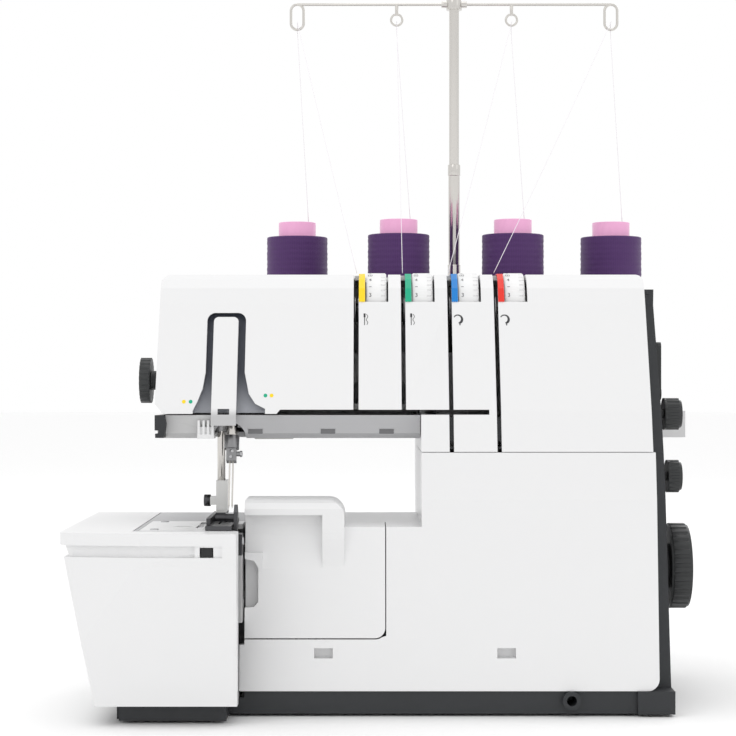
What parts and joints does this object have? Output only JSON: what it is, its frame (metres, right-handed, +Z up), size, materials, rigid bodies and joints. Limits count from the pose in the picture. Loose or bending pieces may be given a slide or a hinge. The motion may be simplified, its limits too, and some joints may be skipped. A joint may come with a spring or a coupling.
{
  "type": "serger overlock machine",
  "caption": "Household overlock serger with slide-on table, tension dials, thread spools, telescopic mast and wire thread arm.",
  "frame": {"origin": "centre of the overall box in plan, at the surface the rubber feet stand on", "axes": "+Z up, -Y towards the user, +X towards the handwheel"},
  "size_m": [0.3935, 0.304, 0.47],
  "materials": {
    "white_plastic": "smooth moulded white plastic with a soft gloss",
    "grey_plastic": "fine satin light grey moulding",
    "dark_plastic": "fine-grained charcoal moulding",
    "black_plastic": "satin black plastic",
    "recess_plastic": "satin blue-grey plastic",
    "knob_plastic": "satin charcoal plastic with moulded ribs",
    "dial_plastic": "white plastic with printed numbers",
    "tab_plastic": "coloured plastic strips: yellow, green, blue, red",
    "spool_holder_plastic": "light grey plastic",
    "foot_rubber": "soft black rubber",
    "belt_rubber": "black rubber",
    "cast_metal": "bead-blasted cast aluminium",
    "motor_paint": "black painted steel",
    "brushed_steel": "brushed steel",
    "polished_steel": "bright plated steel",
    "dark_steel": "dark hardened steel",
    "spool_thread": "purple polyester thread wound on a pink tube",
    "sewing_thread": "fine pale polyester thread"
  },
  "bodies": {
    "machine": {"base_pan": "dark_plastic", "rubber_feet": "foot_rubber", "front_shell": "white_plastic", "upper_shell": "white_plastic", "rear_shell": "white_plastic", "head_cover": "white_plastic", "head_underside": "grey_plastic", "side_panel": "dark_plastic", "face_recess": "recess_plastic", "needle_thread_cover": "white_plastic", "thread_comb": "white_plastic", "thread_cutter": "dark_plastic", "free_arm": "cast_metal", "needle_plate": "brushed_steel", "main_frame": "cast_metal", "motor": "motor_paint", "drive_belt": "belt_rubber", "tension_shafts": "dark_plastic", "tension_discs": "brushed_steel", "colour_tabs": "tab_plastic", "threading_ports": "dark_plastic", "cover_hinge_rod": "polished_steel", "spool_tray": "white_plastic", "spool_pins": "spool_holder_plastic", "mast_lower": "polished_steel", "lower_knife": "dark_steel", "threads": "sewing_thread", "mains_inlet": "black_plastic"},
    "handwheel": {"handwheel": "knob_plastic", "main_shaft": "brushed_steel"},
    "motor_rotor": {"motor_pulley": "brushed_steel"},
    "needle_bar": {"needle_bar": "polished_steel", "needle_clamp": "brushed_steel", "needles": "polished_steel"},
    "presser_bar": {"presser_bar": "polished_steel", "presser_foot": "dark_steel"},
    "presser_lifter": {"presser_lifter": "knob_plastic"},
    "pressure_dial": {"pressure_dial": "knob_plastic"},
    "upper_knife": {"upper_knife": "dark_steel"},
    "lower_looper": {"lower_looper": "polished_steel"},
    "upper_looper": {"upper_looper": "polished_steel"},
    "feed_dog": {"feed_dog": "brushed_steel"},
    "diff_feed_dog": {"diff_feed_dog": "brushed_steel"},
    "looper_cover": {"looper_cover": "white_plastic"},
    "slide_table": {"slide_table": "white_plastic"},
    "table_latch": {"table_latch": "black_plastic"},
    "stitch_length_knob": {"stitch_length_knob": "knob_plastic"},
    "diff_feed_knob": {"diff_feed_knob": "knob_plastic"},
    "threading_lever": {"threading_lever": "knob_plastic"},
    "power_switch": {"power_switch": "black_plastic"},
    "mast_middle": {"mast_middle": "polished_steel"},
    "mast_upper": {"mast_upper": "polished_steel"},
    "tension_dial_1": {"tension_dial_1": "dial_plastic"},
    "spool_1": {"spool_1": "spool_thread"},
    "tension_dial_2": {"tension_dial_2": "dial_plastic"},
    "spool_2": {"spool_2": "spool_thread"},
    "tension_dial_3": {"tension_dial_3": "dial_plastic"},
    "spool_3": {"spool_3": "spool_thread"},
    "tension_dial_4": {"tension_dial_4": "dial_plastic"},
    "spool_4": {"spool_4": "spool_thread"}
  },
  "joints": [
    {"name": "handwheel_turn", "type": "hinge", "parent": "machine", "child": "handwheel", "pos_m": [0.176, -0.02, 0.08], "axis": [1, 0, 0], "continuous": true},
    {"name": "motor_turn", "type": "hinge", "parent": "machine", "child": "motor_rotor", "pos_m": [0.142, 0.03, 0.044], "axis": [1, 0, 0], "continuous": true},
    {"name": "needle_bar_stroke", "type": "slide", "parent": "machine", "child": "needle_bar", "axis": [0, -0.2924, -0.9563], "range_m": [0, 0.025]},
    {"name": "presser_lifter_turn", "type": "hinge", "parent": "machine", "child": "presser_lifter", "pos_m": [-0.122, 0.06, 0.19], "axis": [0, -1, 0], "range_deg": [0, 60]},
    {"name": "presser_bar_lift", "type": "slide", "parent": "machine", "child": "presser_bar", "axis": [0, 0, 1], "range_m": [0, 0.006]},
    {"name": "pressure_dial_turn", "type": "hinge", "parent": "machine", "child": "pressure_dial", "pos_m": [-0.16, -0.032, 0.198], "axis": [1, 0, 0], "range_deg": [-135, 135]},
    {"name": "upper_knife_swing", "type": "hinge", "parent": "machine", "child": "upper_knife", "pos_m": [-0.095, -0.045, 0.062], "axis": [1, 0, 0], "range_deg": [0, 10]},
    {"name": "lower_looper_swing", "type": "hinge", "parent": "machine", "child": "lower_looper", "pos_m": [-0.084, -0.06, 0.042], "axis": [0, -1, 0], "range_deg": [0, 14]},
    {"name": "upper_looper_stroke", "type": "slide", "parent": "machine", "child": "upper_looper", "axis": [-0.6074, 0, 0.7944], "range_m": [0, 0.0214]},
    {"name": "feed_dog_stroke", "type": "slide", "parent": "machine", "child": "feed_dog", "axis": [0, 1, 0], "range_m": [-0.002, 0.002]},
    {"name": "diff_feed_dog_stroke", "type": "slide", "parent": "machine", "child": "diff_feed_dog", "axis": [0, 1, 0], "range_m": [-0.002, 0.002]},
    {"name": "looper_cover_fold", "type": "hinge", "parent": "machine", "child": "looper_cover", "pos_m": [-0.05, -0.103, 0.0512], "axis": [1, 0, 0], "range_deg": [0, 85]},
    {"name": "slide_table_pull", "type": "slide", "parent": "machine", "child": "slide_table", "axis": [-1, 0, 0], "range_m": [0, 0.11]},
    {"name": "table_latch_press", "type": "slide", "parent": "slide_table", "child": "table_latch", "axis": [0, 1, 0], "range_m": [0, 0.002], "stiffness_N_per_m": 300},
    {"name": "tension_dial_1_turn", "type": "hinge", "parent": "machine", "child": "tension_dial_1", "pos_m": [-0.015, -0.034, 0.242], "axis": [1, 0, 0], "range_deg": [-140, 140]},
    {"name": "tension_dial_2_turn", "type": "hinge", "parent": "machine", "child": "tension_dial_2", "pos_m": [0.0136, -0.034, 0.242], "axis": [1, 0, 0], "range_deg": [-140, 140]},
    {"name": "tension_dial_3_turn", "type": "hinge", "parent": "machine", "child": "tension_dial_3", "pos_m": [0.0422, -0.034, 0.242], "axis": [1, 0, 0], "range_deg": [-140, 140]},
    {"name": "tension_dial_4_turn", "type": "hinge", "parent": "machine", "child": "tension_dial_4", "pos_m": [0.0708, -0.034, 0.242], "axis": [1, 0, 0], "range_deg": [-140, 140]},
    {"name": "spool_1_spin", "type": "hinge", "parent": "machine", "child": "spool_1", "pos_m": [-0.0705, 0.123, 0.24], "axis": [0, 0, 1], "continuous": true},
    {"name": "spool_2_spin", "type": "hinge", "parent": "machine", "child": "spool_2", "pos_m": [0.0015, 0.098, 0.24], "axis": [0, 0, 1], "continuous": true},
    {"name": "spool_3_spin", "type": "hinge", "parent": "machine", "child": "spool_3", "pos_m": [0.0815, 0.098, 0.24], "axis": [0, 0, 1], "continuous": true},
    {"name": "spool_4_spin", "type": "hinge", "parent": "machine", "child": "spool_4", "pos_m": [0.1535, 0.123, 0.24], "axis": [0, 0, 1], "continuous": true},
    {"name": "stitch_length_turn", "type": "hinge", "parent": "machine", "child": "stitch_length_knob", "pos_m": [0.17, -0.04, 0.177], "axis": [1, 0, 0], "range_deg": [0, 270]},
    {"name": "diff_feed_turn", "type": "hinge", "parent": "machine", "child": "diff_feed_knob", "pos_m": [0.17, -0.04, 0.138], "axis": [1, 0, 0], "range_deg": [-90, 120]},
    {"name": "threading_lever_turn", "type": "hinge", "parent": "machine", "child": "threading_lever", "pos_m": [0.163, -0.03, 0.19], "axis": [1, 0, 0], "range_deg": [0, 35]},
    {"name": "power_switch_rock", "type": "hinge", "parent": "machine", "child": "power_switch", "pos_m": [0.1574, 0.035, 0.038], "axis": [0, 0, 1], "range_deg": [0, 7]},
    {"name": "mast_middle_slide", "type": "slide", "parent": "machine", "child": "mast_middle", "axis": [0, 0, -1], "range_m": [0, 0.06], "deforming": ["threads"]},
    {"name": "mast_upper_slide", "type": "slide", "parent": "mast_middle", "child": "mast_upper", "axis": [0, 0, -1], "range_m": [0, 0.06]}
  ],
  "couplings": [
    {"joint": "motor_turn", "follows": "handwheel_turn", "ratio": 3},
    {"joint": "presser_lifter_turn", "follows": "presser_bar_lift", "rad_per_m": 174.53},
    {"joint": "mast_upper_slide", "follows": "mast_middle_slide", "ratio": 1}
  ]
}
